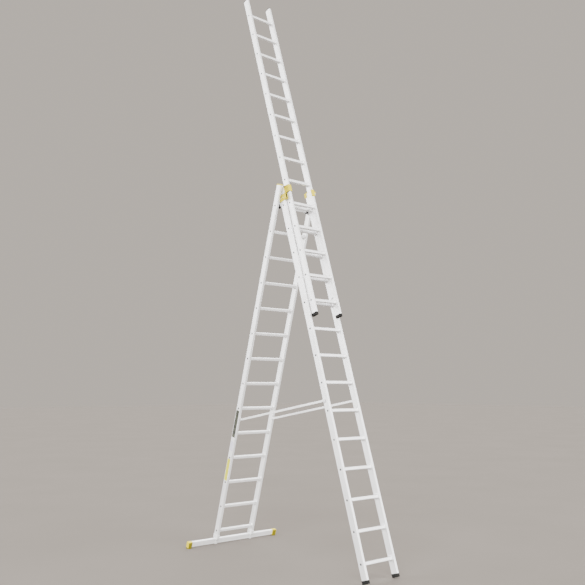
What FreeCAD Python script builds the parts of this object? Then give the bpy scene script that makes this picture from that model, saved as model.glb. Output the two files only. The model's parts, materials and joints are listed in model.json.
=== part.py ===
import FreeCAD, Part
import math
import os
from FreeCAD import Placement, Rotation, Vector

# Three-section combination ladder, standing as a stepladder with its top section run up.
# Every section is modelled in its own frame: X along the rungs, Y towards the rear, Z up the
# stiles, origin on the axis of the section's uppermost rung. Lengths in mm, angles in degrees.

# ------------------------------------------------------------------ driving dimensions
# stance
rung_pitch = 280.0
rung_count = 14
front_lean = 17.47        # middle section from the vertical
rear_lean = 16.32         # rear section from the vertical
run_up = 9                # rung pitches that the top section stands above the middle section
top_offset = 70.0         # top section's plane in front of the middle section's plane
fold_gap = 13.0           # between rear and middle stiles when folded together
fold_drop = 34.0          # middle rungs below rear rungs when folded together

# widths
top_clear = 302.0         # between the stiles of the top section
slide_gap = 5.0           # between a top stile and a middle stile, sideways
bar_gap = 17.7            # between a middle stile and a rear stile, sideways

# stiles
stile_depth = 72.0
stile_width = 25.0
stile_wall = 1.5
stile_corner = 4.0
stile_above = 220.0       # above the uppermost rung's axis
stile_below = 135.0       # below the lowest rung's axis, middle and top sections
rear_below = 89.0         # below the lowest rung's axis, rear section

# rungs
rung_side = 30.0
rung_wall = 1.4
rung_corner = 5.0
rung_fit = 0.1            # round a rung in its window in the stile
groove_count = 4          # grip grooves on the tread
groove_pitch = 5.0
groove_width = 1.8
groove_depth = 0.7
collar_length = 18.0
collar_flare = 13.0
collar_lip = 1.5
collar_steps = 5
plug_length = 18.0

# fasteners
bolt_radius = 4.0
bolt_clearance = 0.2
bolt_head_radius = 9.5
bolt_head_height = 2.3
bolt_depth = 15.0
socket_radius = 2.6
socket_depth = 1.2
nut_radius = 7.5
nut_height = 6.0
rivet_radius = 3.0
rivet_head_radius = 5.5
rivet_head_height = 2.2
rivet_tail_radius = 4.2
rivet_tail_height = 1.6

# feet and caps
foot_height = 32.0
foot_lip = 1.0            # foot stands out beyond the stile
foot_spigot = 40.0
foot_groove = 4.0
foot_grooves = 8
top_cap_height = 12.0
rear_cap_height = 12.0
rear_cap_lip = 1.2
cap_spigot = 25.0
cap_corner = 5.0
hood_wall = 3.5           # hood over the middle stile's end
hood_back = 11.0
hood_cheek = 26.0         # how far its cheeks reach along the stile's sides
hood_skirt = 46.0
hood_top = 12.0
hood_corner = 3.0

# hinge claws on the middle section, bushes on the rear section's uppermost rung
claw_width = 20.0
claw_wall = 7.5
claw_pad = 5.0
claw_pad_above = 62.0
claw_pad_below = 46.0
claw_leg = 15.0
bush_wall = 2.86          # bush beyond the rung's corners
bush_clearance = 0.3
bush_flange = 1.8
bush_flange_lip = 4.0

# guides that hold the top section against the middle section
guide_clearance = 2.2     # sideways, between a bolt head of the top section and a guide
guide_lip_clearance = 1.2
guide_plate = 4.0
head_wall = 5.0           # guide head's wall beside the top stile, and its flange
head_front = 5.0          # guide head's wall in front of the top stile
head_return = 7.0         # guide head's return inside the top stile
return_gap = 2.0          # between the return and the top stile's inner face
head_drop = 20.0          # head's upper end below the middle stile's end
head_height = 78.0
head_corner = 4.0
clamp_thickness = 2.5     # aluminium plate that clamps the head's flange
clamp_gap = 2.0           # between the clamp plate and the head's wall
block_rise = 47.0         # block's lower end above the uppermost rung's axis
block_height = 73.0
block_depth = 31.0        # block in front of the middle stile
block_corner = 6.0
block_wall = 5.0          # round the pocket in the block's front
block_pocket = 22.0

# spreader bars
bar_thickness = 4.0
bar_height = 21.0
bar_inset = 6.7           # bar's outer face inside the rear stile's inner face
bar_pivot_front = 8.0     # pivot in front of the rear stile's front face
bar_pivot_rungs = 8.4     # pivot below the rear section's uppermost rung, in rung pitches
bar_eye_radius = 13.0
bar_hook_radius = 18.0
stud_rungs = 7.63         # stud below the middle section's uppermost rung, in rung pitches
stud_back = 18.0          # stud behind the middle stile's centre line
stud_radius = 5.0
stud_head_radius = 8.5
stud_head_height = 2.7
stud_flange_radius = 12.0
stud_flange = 3.0
stud_clearance = 0.9
pivot_clearance = 0.05
side_clearance = 0.25
tab_thickness = 4.0
tab_half_height = 28.0
tab_rivet_reach = 16.0
tab_back = 30.0

# rung locks of the top section
lock_thickness = 5.0
lock_side_gap = 0.3
lock_pivot_back = 25.0    # behind the top section's plane
lock_pivot_rise = 60.0    # above the top section's lowest rung
lock_pivot_radius = 5.0
lock_boss_radius = 13.0
lock_seat_gap = 0.3
lock_nose = 12.0
lock_nose_drop = 8.0
lock_body_height = 28.0
lock_tab_width = 14.0
lock_head_radius = 9.5
lock_head_height = 3.0
lock_tail_radius = 7.5
spring_wire = 0.7
spring_radius = 7.5
spring_turns = 3
spring_pitch = 1.75
spring_leg = 16.0

# stabiliser
stabiliser_length = 1204.0
stabiliser_height = 55.0
stabiliser_depth = 30.0
stabiliser_wall = 2.0
stabiliser_corner = 3.0
saddle_wall = 3.0
saddle_rise = 45.0
saddle_taper = 26.0
saddle_floor = 8.0
end_cap_length = 50.0
end_cap_wall = 4.0
end_cap_rim = 5.0
end_cap_top = 8.0

# ------------------------------------------------------------------ worked out from them
top_inner = top_clear / 2
top_outer = top_inner + stile_width
middle_inner = top_outer + slide_gap
middle_outer = middle_inner + stile_width
rear_inner = middle_outer + bar_gap
rear_outer = rear_inner + stile_width
half_depth = stile_depth / 2
rung_half = rung_side / 2
rung_span = (rung_count - 1) * rung_pitch
lowest_front = -(rung_span + stile_below)
lowest_rear = -(rung_span + rear_below)
foot_low = lowest_front - foot_height
bar_inner = rear_inner - bar_inset - bar_thickness
bar_outer = rear_inner - bar_inset
guide_inner = top_outer + bolt_head_height + guide_clearance
head_outer = guide_inner + head_wall
head_inner = top_inner - return_gap - head_return
clamp_inner = head_outer + clamp_gap
guide_outer = middle_outer + guide_plate
bush_radius = (rung_half - rung_corner) * math.sqrt(2) + rung_corner + bush_wall
bush_flange_radius = bush_radius + bush_flange_lip
claw_inner = (middle_inner + middle_outer - claw_width) / 2
claw_outer = claw_inner + claw_width
claw_y = stile_depth + fold_gap
head_high = stile_above - head_drop
head_low = head_high - head_height
block_low = block_rise
block_high = block_low + block_height
bar_pivot_drop = bar_pivot_rungs * rung_pitch
stud_drop = stud_rungs * rung_pitch
stabiliser_top = lowest_rear
stabiliser_low = lowest_rear - stabiliser_height
lock_outer = top_inner - lock_side_gap
lock_inner = lock_outer - lock_thickness
lock_z = lock_pivot_rise - rung_span
spring_length = spring_turns * spring_pitch + 2 * spring_wire

# frames of the three sections, before the whole ladder is centred on its footprint
lean_sin = math.sin(math.radians(front_lean))
lean_cos = math.cos(math.radians(front_lean))
middle_height = -foot_low * lean_cos + (half_depth + foot_lip) * lean_sin
middle_frame = Placement(Vector(0, 0, middle_height), Rotation(Vector(1, 0, 0), -front_lean))
hinge_point = middle_frame.multVec(Vector(0, claw_y, fold_drop))
rear_frame = Placement(hinge_point, Rotation(Vector(1, 0, 0), rear_lean))
top_frame = middle_frame * Placement(Vector(0, -top_offset, run_up * rung_pitch), Rotation())


# ------------------------------------------------------------------ shape helpers
def box(x0, x1, y0, y1, z0, z1):
    """Box between two corners."""
    return Part.makeBox(x1 - x0, y1 - y0, z1 - z0, Vector(x0, y0, z0))


def rounded(shape, radius, direction):
    """Shape with every edge that runs along the direction rounded."""
    edges = [e for e in shape.Edges if abs(e.tangentAt(e.FirstParameter).dot(direction)) > 0.999]
    return shape.makeFillet(radius, edges)


def along_x(radius, x0, x1, y, z):
    """Round bar along X."""
    return Part.makeCylinder(radius, x1 - x0, Vector(x0, y, z), Vector(1, 0, 0))


def along_y(radius, y0, y1, x, z):
    """Round bar along Y."""
    return Part.makeCylinder(radius, y1 - y0, Vector(x, y0, z), Vector(0, 1, 0))


def fused(shapes):
    """One solid from overlapping or touching shapes."""
    return shapes[0].multiFuse(shapes[1:]).removeSplitter()


def mirrored(shape):
    """The other hand of a shape, across the plane between the stiles."""
    return shape.mirror(Vector(0, 0, 0), Vector(1, 0, 0))


def on_both_sides(shape):
    """A right-hand piece and its mirror image, as separate solids."""
    return [shape, mirrored(shape)]


def at_every_rung(shape):
    """Copies of a piece at each rung of a section."""
    return [shape.translated(Vector(0, 0, -i * rung_pitch)) for i in range(rung_count)]


def rounded_outline(half, radius, x):
    """Square outline with rounded corners, in the plane at x."""
    square = Part.makePolygon([
        Vector(x, -half, -half), Vector(x, half, -half), Vector(x, half, half),
        Vector(x, -half, half), Vector(x, -half, -half)])
    prism = Part.Face(square).extrude(Vector(1, 0, 0))
    prism = rounded(prism, radius, Vector(1, 0, 0))
    return [f for f in prism.Faces if abs(f.CenterOfMass.x - x) < 0.001][0].OuterWire


def headed_pin(head_radius, head_height, shank_radius, shank_length):
    """Round-headed pin: seat at the origin, head towards +X, shank towards -X."""
    head = along_x(head_radius, 0, head_height, 0, 0)
    crown = [e for e in head.Edges if e.BoundBox.XMin > head_height - 0.001]
    head = head.makeFillet(head_height * 0.45, crown)
    return fused([head, along_x(shank_radius, -shank_length, 0, 0, 0)])


def socket_bolt(length):
    """Rung bolt with a hexagon socket in its low head."""
    bolt = headed_pin(bolt_head_radius, bolt_head_height, bolt_radius, length)
    return bolt.cut(hexagon(socket_radius, bolt_head_height - socket_depth, bolt_head_height))


def hexagon(radius, x0, x1):
    """Hexagonal prism along X, centred on the X axis."""
    points = [Vector(x0, radius * math.cos(math.radians(60 * k)), radius * math.sin(math.radians(60 * k)))
              for k in range(7)]
    return Part.Face(Part.makePolygon(points)).extrude(Vector(x1 - x0, 0, 0))


def rivet(grip):
    """Blind rivet: head on +X side of its seat, tail formed behind the gripped sheets."""
    pin = headed_pin(rivet_head_radius, rivet_head_height, rivet_radius, grip)
    tail = along_x(rivet_tail_radius, -grip - rivet_tail_height, -grip, 0, 0)
    return fused([pin, tail])


def moved(shape, x, y, z):
    """Shape moved without turning."""
    return shape.translated(Vector(x, y, z))


def facing_front(shape, x, y, z):
    """Fastener turned so that its head faces -Y."""
    turned = shape.copy()
    turned.Placement = Placement(Vector(x, y, z), Rotation(Vector(0, 0, 1), -90))
    return turned


def facing_rear(shape, x, y, z):
    """Fastener turned so that its head faces +Y."""
    turned = shape.copy()
    turned.Placement = Placement(Vector(x, y, z), Rotation(Vector(0, 0, 1), 90))
    return turned


# ------------------------------------------------------------------ stiles, rungs and their ends
def stile(inner, low):
    """Hollow box section with a window for each rung and a hole for each rung bolt."""
    outer = inner + stile_width
    upright = Vector(0, 0, 1)
    body = rounded(box(inner, outer, -half_depth, half_depth, low, stile_above), stile_corner, upright)
    wall = stile_wall
    hollow = box(inner + wall, outer - wall, wall - half_depth, half_depth - wall, low - 1, stile_above + 1)
    body = body.cut(rounded(hollow, stile_corner - wall, upright))
    half = rung_half + rung_fit
    window = box(inner - 1, inner + wall + 1, -half, half, -half, half)
    window = rounded(window, rung_corner, Vector(1, 0, 0))
    hole = along_x(bolt_radius + bolt_clearance, outer - wall - 1, outer + 1, 0, 0)
    return body.cut(at_every_rung(window) + at_every_rung(hole))


def rung_core(x0, x1, half, radius):
    """Solid square bar with rounded corners along X."""
    return rounded(box(x0, x1, -half, half, -half, half), radius, Vector(1, 0, 0))


def rungs(inner):
    """Square tubes with grip grooves on the tread, held between the stiles' outer walls."""
    reach = inner + stile_width - stile_wall
    tube = rung_core(-reach, reach, rung_half, rung_corner)
    tube = tube.cut(rung_core(-reach - 1, reach + 1, rung_half - rung_wall, rung_corner - rung_wall))
    first = -groove_pitch * (groove_count - 1) / 2
    grooved = inner - collar_length
    grooves = [box(-grooved, grooved, first + k * groove_pitch - groove_width / 2,
                   first + k * groove_pitch + groove_width / 2, rung_half - groove_depth, rung_half + 1)
               for k in range(groove_count)]
    return at_every_rung(tube.cut(grooves))


def rung_collars(inner):
    """Flared collars that spread each rung's end onto the stile's inner face."""
    outlines = []
    for k in range(collar_steps):
        turn = math.pi / 2 * k / (collar_steps - 1)
        x = inner - collar_length * (1 - math.sin(turn))
        half = rung_half + collar_lip + collar_flare * (1 - math.cos(turn))
        outlines.append(rounded_outline(half, rung_corner + half - rung_half, x))
    collar = Part.makeLoft(outlines, True, True)
    bore = rung_core(inner - collar_length - 1, inner + 1, rung_half, rung_corner)
    collar = collar.cut(bore)
    return at_every_rung(collar) + at_every_rung(mirrored(collar))


def rung_plugs(inner):
    """Blocks inside the rung ends that the rung bolts screw into."""
    reach = inner + stile_width - stile_wall
    half = rung_half - rung_wall
    plug = rung_core(reach - plug_length, reach, half, rung_corner - rung_wall)
    plug = plug.cut(along_x(bolt_radius, reach - plug_length - 1, reach + 1, 0, 0))
    return at_every_rung(plug) + at_every_rung(mirrored(plug))


def rung_bolts(inner):
    """Bolts through the stiles' outer walls into the rung plugs."""
    bolt = moved(socket_bolt(bolt_depth), inner + stile_width, 0, 0)
    return at_every_rung(bolt) + at_every_rung(mirrored(bolt))


def spigot(inner, z0, z1):
    """Core that fills a stile's hollow between two heights."""
    wall = stile_wall
    core = box(inner + wall, inner + stile_width - wall, wall - half_depth, half_depth - wall, z0, z1)
    return rounded(core, stile_corner - wall, Vector(0, 0, 1))


def rubber_foot(inner):
    """Sole with cross grooves, plugged into the stile's lower end."""
    outer = inner + stile_width
    edge = half_depth + foot_lip
    sole = box(inner - foot_lip, outer + foot_lip, -edge, edge, foot_low, lowest_front)
    sole = rounded(sole, stile_corner, Vector(0, 0, 1))
    step = 2 * edge / (foot_grooves + 1)
    grooves = [box(inner - foot_lip - 1, outer + foot_lip + 1, (k + 1) * step - edge - foot_groove / 2,
                   (k + 1) * step - edge + foot_groove / 2, foot_low - 1, foot_low + foot_groove / 2)
               for k in range(foot_grooves)]
    return fused([sole, spigot(inner, lowest_front, lowest_front + foot_spigot)]).cut(grooves)


def end_cap(inner, lip, height):
    """Cap over a stile's upper end with a spigot in its hollow."""
    outer = inner + stile_width
    edge = half_depth + lip
    head = box(inner - lip, outer + lip, -edge, edge, stile_above, stile_above + height)
    head = rounded(head, stile_corner, Vector(0, 0, 1))
    crown = [e for e in head.Edges if e.BoundBox.ZMin > stile_above + height - 0.001]
    head = head.makeFillet(cap_corner, crown)
    return fused([head, spigot(inner, stile_above - cap_spigot, stile_above)])


# ------------------------------------------------------------------ hinge
def hinge_bush():
    """Flanged round bush pressed on the rear section's uppermost rung."""
    low = claw_inner - side_clearance
    high = claw_outer + side_clearance
    barrel = along_x(bush_radius, low, high, 0, 0)
    flanges = [along_x(bush_flange_radius, low - bush_flange, low, 0, 0),
               along_x(bush_flange_radius, high, high + bush_flange, 0, 0)]
    bush = fused([barrel] + flanges)
    return bush.cut(rung_core(low - bush_flange - 1, high + bush_flange + 1, rung_half, rung_corner))


def claw_rivet_heights():
    """Rivets of one claw, as heights in the middle section."""
    edge = 2 * rivet_head_radius
    top = fold_drop + claw_pad_above
    bottom = fold_drop - claw_pad_below
    return [top - edge, bottom + edge]


def hinge_claw():
    """Hook that sits over the bush, with a pad riveted to the middle stile's back."""
    hole = bush_radius + bush_clearance
    shell = hole + claw_wall
    inner, outer = claw_inner, claw_outer
    top = fold_drop + claw_pad_above
    bottom = fold_drop - claw_pad_below
    crown = along_x(shell, inner, outer, claw_y, fold_drop)
    legs = box(inner, outer, claw_y - shell, claw_y + shell, fold_drop - claw_leg, fold_drop)
    pad = box(inner, outer, half_depth, half_depth + claw_pad, bottom, top)
    arm = box(inner, outer, half_depth, claw_y - hole, fold_drop - claw_leg, fold_drop + shell * 0.6)
    body = fused([crown, legs, pad, arm])
    below = box(inner - 1, outer + 1, claw_y - shell - 1, claw_y + shell + 1, fold_drop - 3 * shell,
                fold_drop - claw_leg)
    mouth = box(inner - 1, outer + 1, claw_y - hole, claw_y + hole, fold_drop - 3 * shell, fold_drop)
    bore = along_x(hole, inner - 1, outer + 1, claw_y, fold_drop)
    middle = (inner + outer) / 2
    holes = [along_y(rivet_radius, half_depth - 1, half_depth + claw_pad + 1, middle, z)
             for z in claw_rivet_heights()]
    return body.cut([below, mouth, bore] + holes)


def claw_rivets():
    """Rivets that fix the claws to the middle stiles' back walls."""
    middle = (claw_inner + claw_outer) / 2
    pin = rivet(claw_pad + stile_wall)
    right = [facing_rear(pin, middle, half_depth + claw_pad, z) for z in claw_rivet_heights()]
    return right + [mirrored(s) for s in right]


# ------------------------------------------------------------------ guides for the top section
def guide_head():
    """Moulded clip round the front of the top stile, on a flange on the middle stile's front."""
    lip_back = -top_offset - half_depth - guide_lip_clearance
    lip_front = lip_back - head_front
    return_back = -top_offset - rung_half - collar_lip - collar_flare - guide_lip_clearance
    wall = box(guide_inner, head_outer, lip_front, -half_depth, head_low, head_high)
    front = box(head_inner, head_outer, lip_front, lip_back, head_low, head_high)
    inward = box(head_inner, head_inner + head_return, lip_front, return_back, head_low, head_high)
    flange = box(guide_inner, middle_outer, -half_depth - head_wall, -half_depth, head_low, head_high)
    head = fused([wall, front, inward, flange])
    corners = [e for e in head.Edges if e.BoundBox.YMax < lip_front + 0.001 and e.BoundBox.ZLength > 1]
    return head.makeFillet(head_corner, corners).cut(guide_rivet_holes())


def clamp_plate():
    """Aluminium plate that clamps the head's flange on the middle stile's front."""
    back = -half_depth - head_wall
    plate = box(clamp_inner, middle_outer, back - clamp_thickness, back, head_low, head_high)
    return plate.cut(guide_rivet_holes())


def guide_rivet_places():
    """Rivets of one guide head, as places on the middle stile's front."""
    x = (clamp_inner + middle_outer) / 2
    edge = 3 * rivet_head_radius
    return [(x, head_low + edge), (x, head_high - edge)]


def guide_rivet_holes():
    """Holes through whatever lies on a middle stile's front."""
    front = -half_depth - head_wall - clamp_thickness - 1
    return [along_y(rivet_radius, front, stile_wall - half_depth, x, z) for x, z in guide_rivet_places()]


def guide_block():
    """Lower guide: a hollow-fronted block beside the top stile, with a plate on the middle stile."""
    front = -half_depth - block_depth
    tower = box(guide_inner, guide_outer, front, -half_depth, block_low, block_high)
    plate = box(middle_outer, guide_outer, -half_depth, half_depth, block_low, block_high)
    block = fused([tower, plate])
    corner = [e for e in block.Edges
              if e.BoundBox.YMax < front + 0.001 and e.BoundBox.XMin > guide_outer - 0.001]
    block = block.makeFillet(block_corner, corner)
    pocket = box(guide_inner + block_wall, guide_outer - block_wall, front - 1, front + block_pocket,
                 block_low + block_wall, block_high - block_wall)
    return block.cut([pocket] + block_rivet_holes())


def block_rivets():
    """Rivets of one guide block, as places on the middle stile's outer face."""
    edge = 3 * rivet_head_radius
    return [(side * (half_depth - edge), (block_low + block_high) / 2) for side in (-1, 1)]


def block_rivet_holes():
    """Holes for them through the block's plate and the stile's outer wall."""
    return [along_x(rivet_radius, middle_outer - stile_wall - 1, guide_outer + 1, y, z)
            for y, z in block_rivets()]


def guide_rivets():
    """Rivets through the heads, clamp plates and blocks into the middle stiles."""
    pin = rivet(clamp_thickness + head_wall + stile_wall)
    front = -half_depth - head_wall - clamp_thickness
    right = [facing_front(pin, x, front, z) for x, z in guide_rivet_places()]
    right += [moved(rivet(guide_plate + stile_wall), guide_outer, y, z) for y, z in block_rivets()]
    return right + [mirrored(s) for s in right]


def stile_hood():
    """Moulded hood over the middle stile's end, its cheeks round the stile's back."""
    x0 = middle_inner - hood_wall
    x1 = middle_outer + hood_wall
    back = half_depth + hood_back
    skirt = box(x0, x1, half_depth - hood_cheek, back, stile_above - hood_skirt, stile_above)
    skirt = skirt.cut(box(middle_inner, middle_outer, -half_depth, half_depth, 0, stile_above))
    cover = box(x0, x1, -half_depth, back, stile_above, stile_above + hood_top)
    hood = fused([skirt, cover])
    upper = [e for e in hood.Edges if e.BoundBox.ZMin > stile_above + hood_top - 0.001]
    return fused([hood.makeFillet(hood_corner, upper),
                  spigot(middle_inner, stile_above - cap_spigot, stile_above)])


# ------------------------------------------------------------------ spreader bars
def bar_points():
    """Pivot on the rear section and stud on the middle section, in the ladder's frame."""
    pivot = rear_frame.multVec(Vector(0, -half_depth - bar_pivot_front, -bar_pivot_drop))
    stud = middle_frame.multVec(Vector(0, stud_back, -stud_drop))
    return pivot, stud


def bar_frame():
    """Frame of the bars: origin on the pivot, Z towards the stud."""
    pivot, stud = bar_points()
    reach = stud - pivot
    return Placement(pivot, Rotation(Vector(1, 0, 0), math.degrees(math.atan2(-reach.y, reach.z))))


def bar_swing():
    """Turn of the bars from rest until they lie along the folded rear section."""
    return rear_lean - math.degrees(bar_frame().Rotation.Angle)


def stud_leaves():
    """Direction in which the stud leaves the hook as the ladder starts to fold, in the bar's frame."""
    pivot, stud = bar_points()
    start = 1.0
    folded = Rotation(Vector(1, 0, 0), start).multVec(stud - hinge_point) + hinge_point
    turn = start * bar_swing() / (front_lean + rear_lean)
    seen = Rotation(Vector(1, 0, 0), -turn).multVec(folded - pivot) - (stud - pivot)
    return bar_frame().Rotation.inverted().multVec(seen).normalize()


def spreader_bar():
    """Flat bar with an eye on the rear section's pivot and a hook over the middle section's stud."""
    pivot, stud = bar_points()
    length = (stud - pivot).Length
    strip = box(bar_inner, bar_outer, -bar_height / 2, bar_height / 2, 0, length)
    eye = along_x(bar_eye_radius, bar_inner, bar_outer, 0, 0)
    hook = along_x(bar_hook_radius, bar_inner, bar_outer, 0, length)
    half = stud_radius + stud_clearance
    way = stud_leaves()
    slot = box(bar_inner - 1, bar_outer + 1, -half, half, 0, 2 * bar_hook_radius)
    slot.Placement = Placement(Vector(0, 0, length),
                               Rotation(Vector(1, 0, 0), math.degrees(math.atan2(-way.y, way.z))))
    seat = along_x(half, bar_inner - 1, bar_outer + 1, 0, length)
    bore = along_x(bolt_radius + pivot_clearance, bar_inner - 1, bar_outer + 1, 0, 0)
    return fused([strip, eye, hook]).cut([slot, seat, bore])


def pivot_bracket():
    """Riveted tab on the rear stile's inner face that carries the spreader bar's pivot."""
    y = -half_depth - bar_pivot_front
    inner = rear_inner - tab_thickness
    round_end = along_x(bar_eye_radius, inner, rear_inner, y, -bar_pivot_drop)
    neck = box(inner, rear_inner, y, -half_depth, -bar_pivot_drop - bar_eye_radius,
               -bar_pivot_drop + bar_eye_radius)
    pad = box(inner, rear_inner, -half_depth, tab_back - half_depth, -bar_pivot_drop - tab_half_height,
              -bar_pivot_drop + tab_half_height)
    holes = [along_x(bolt_radius, inner - 1, rear_inner + 1, y, -bar_pivot_drop)]
    holes += [along_x(rivet_radius, inner - 1, rear_inner + 1, ry, rz) for ry, rz in tab_rivets()]
    return fused([round_end, neck, pad]).cut(holes)


def tab_rivets():
    """Rivets of one pivot bracket, as places on the rear stile's inner face."""
    y = tab_back / 2 - half_depth
    return [(y, side * tab_rivet_reach - bar_pivot_drop) for side in (-1, 1)]


def bracket_rivet_set():
    """Rivets of both pivot brackets, their heads towards the middle of the ladder."""
    pin = mirrored(rivet(tab_thickness + stile_wall))
    right = [moved(pin, rear_inner - tab_thickness, y, z) for y, z in tab_rivets()]
    return right + [mirrored(s) for s in right]


def pivot_hardware():
    """Pivot bolt, washer between bar and bracket, and nut, on each side."""
    y = -half_depth - bar_pivot_front
    z = -bar_pivot_drop
    seat = bar_inner - side_clearance
    end = rear_inner + nut_height
    bolt = mirrored(headed_pin(stud_head_radius, stud_head_height, bolt_radius, end - seat))
    bolt = moved(bolt, seat, y, z)
    bore = along_x(bolt_radius, seat, end + 1, y, z)
    washer = along_x(nut_radius, bar_outer + side_clearance, rear_inner - tab_thickness, y, z).cut(bore)
    nut = moved(hexagon(nut_radius, rear_inner, end), 0, y, z).cut(bore)
    right = [bolt, washer, nut]
    return right + [mirrored(s) for s in right]


def spreader_stud():
    """Headed stud on the middle stile's outer face for the spreader bar's hook."""
    flange = along_x(stud_flange_radius, middle_outer, middle_outer + stud_flange, stud_back, -stud_drop)
    seat = bar_outer + 4 * side_clearance
    shank = along_x(stud_radius, middle_outer - stile_wall, seat, stud_back, -stud_drop)
    head = along_x(stud_head_radius, seat, seat + stud_head_height, stud_back, -stud_drop)
    tail = along_x(stud_head_radius, middle_outer - stile_wall - rivet_tail_height, middle_outer - stile_wall,
                   stud_back, -stud_drop)
    return fused([flange, shank, head, tail])


# ------------------------------------------------------------------ rung locks
def rung_lock():
    """Hook that swings over the middle section's rung behind the top section's lowest rung."""
    rung_z = -rung_span
    seat = rung_z + rung_half + lock_seat_gap
    rear = top_offset + rung_half + lock_seat_gap
    boss = along_x(lock_boss_radius, lock_inner, lock_outer, lock_pivot_back, lock_z)
    body = box(lock_inner, lock_outer, lock_pivot_back, rear + lock_nose, seat, seat + lock_body_height)
    nose = box(lock_inner, lock_outer, rear, rear + lock_nose, rung_z - lock_nose_drop, seat)
    neck_low = lock_z - lock_boss_radius
    neck = box(lock_inner, lock_outer, lock_pivot_back, top_offset, neck_low, lock_z)
    tab = box(lock_inner - lock_tab_width, lock_inner, top_offset, top_offset + lock_nose,
              seat + lock_body_height - lock_thickness, seat + lock_body_height)
    front = box(lock_inner - 1, lock_outer + 1, 0, top_offset - rung_half - lock_nose, rung_z, neck_low)
    bore_radius = lock_pivot_radius + pivot_clearance
    bore = along_x(bore_radius, lock_inner - 1, lock_outer + 1, lock_pivot_back, lock_z)
    return fused([boss, body, nose, neck, tab]).cut([front, bore])


def lock_pivot():
    """Shoulder rivet in the top stile's inner wall that the lock turns on."""
    head_out = lock_inner - 2 * side_clearance - spring_length - side_clearance
    shank = along_x(lock_pivot_radius, head_out, top_inner + stile_wall, lock_pivot_back, lock_z)
    head = along_x(lock_head_radius, head_out - lock_head_height, head_out, lock_pivot_back, lock_z)
    tail = along_x(lock_tail_radius, top_inner + stile_wall, top_inner + stile_wall + lock_head_height,
                   lock_pivot_back, lock_z)
    return fused([shank, head, tail])


def lock_spring():
    """Torsion spring round the lock's pivot: three turns and two straight legs."""
    helix = Part.makeHelix(spring_pitch, spring_turns * spring_pitch, spring_radius)
    section = Part.Wire(Part.makeCircle(spring_wire, Vector(spring_radius, 0, 0), Vector(0, 1, 0)))
    coil = Part.Wire(helix.Edges).makePipeShell([section], True, True)
    first = Part.makeCylinder(spring_wire, spring_leg, Vector(spring_radius, -spring_leg, 0), Vector(0, 1, 0))
    last = Part.makeCylinder(spring_wire, spring_leg,
                             Vector(spring_radius, 0, spring_turns * spring_pitch), Vector(0, 1, 0))
    spring = fused([coil, first, last])
    x = lock_inner - 2 * side_clearance - spring_length + spring_wire
    spring.Placement = Placement(Vector(x, lock_pivot_back, lock_z), Rotation(Vector(0, 1, 0), 90))
    return spring


# ------------------------------------------------------------------ stabiliser
def stabiliser_bar():
    """Crossbar tube under the rear stiles, drilled for the saddle bolts."""
    half = stabiliser_length / 2 - end_cap_wall
    depth = stabiliser_depth / 2
    wall = stabiliser_wall
    tube = rounded(box(-half, half, -depth, depth, stabiliser_low, stabiliser_top), stabiliser_corner,
                   Vector(1, 0, 0))
    tube = tube.cut(box(-half - 1, half + 1, wall - depth, depth - wall, stabiliser_low + wall,
                        stabiliser_top - wall))
    hole = along_y(bolt_radius, -depth - 1, depth + 1, saddle_x(), saddle_bolt_z())
    return tube.cut(on_both_sides(hole))


def saddle_x():
    """Middle of a saddle, under the middle of its stile."""
    return (rear_inner + rear_outer) / 2


def saddle_bolt_z():
    """Height of the bolt through a saddle and the crossbar, its nut clear of the taper."""
    return lowest_rear - saddle_taper - nut_radius - 1


def stile_bolt_z():
    """Height of the bolt through a saddle and the stile's end."""
    return lowest_rear + saddle_rise / 2


def saddle():
    """Casting with a socket for the stile's end above a sleeve round the crossbar."""
    x0 = rear_inner - saddle_wall
    x1 = rear_outer + saddle_wall
    wide = half_depth + saddle_wall
    slim = stabiliser_depth / 2 + end_cap_wall
    low = stabiliser_low - saddle_floor
    turn = lowest_rear - saddle_taper
    top = lowest_rear + saddle_rise
    outline = Part.makePolygon([
        Vector(x0, -wide, top), Vector(x0, wide, top), Vector(x0, wide, lowest_rear),
        Vector(x0, slim, turn), Vector(x0, slim, low), Vector(x0, -slim, low),
        Vector(x0, -slim, turn), Vector(x0, -wide, lowest_rear), Vector(x0, -wide, top)])
    body = Part.Face(outline).extrude(Vector(x1 - x0, 0, 0))
    socket = rounded(box(rear_inner, rear_outer, -half_depth, half_depth, lowest_rear, top + 1), stile_corner,
                     Vector(0, 0, 1))
    sleeve = box(x0 - 1, x1 + 1, -stabiliser_depth / 2, stabiliser_depth / 2, stabiliser_low, stabiliser_top)
    cross = along_y(bolt_radius, -wide, wide, saddle_x(), saddle_bolt_z())
    through = along_x(bolt_radius, x0 - 1, x1 + 1, 0, stile_bolt_z())
    return body.cut([socket, sleeve, cross, through])


def saddle_bolts():
    """One bolt through each saddle and the crossbar, one through each saddle and stile."""
    slim = stabiliser_depth / 2 + end_cap_wall
    cross = facing_front(socket_bolt(2 * slim + nut_height), saddle_x(), -slim, saddle_bolt_z())
    through = socket_bolt(stile_width + 2 * saddle_wall + nut_height)
    through = moved(through, rear_outer + saddle_wall, 0, stile_bolt_z())
    right = [cross, through]
    return right + [mirrored(s) for s in right]


def saddle_nuts():
    """Nuts of the saddle bolts."""
    slim = stabiliser_depth / 2 + end_cap_wall
    nut = hexagon(nut_radius, 0, nut_height).cut(along_x(bolt_radius, -1, nut_height + 1, 0, 0))
    cross = facing_rear(nut, saddle_x(), slim, saddle_bolt_z())
    through = moved(nut, rear_inner - saddle_wall - nut_height, 0, stile_bolt_z())
    right = [cross, through]
    return right + [mirrored(s) for s in right]


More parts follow.
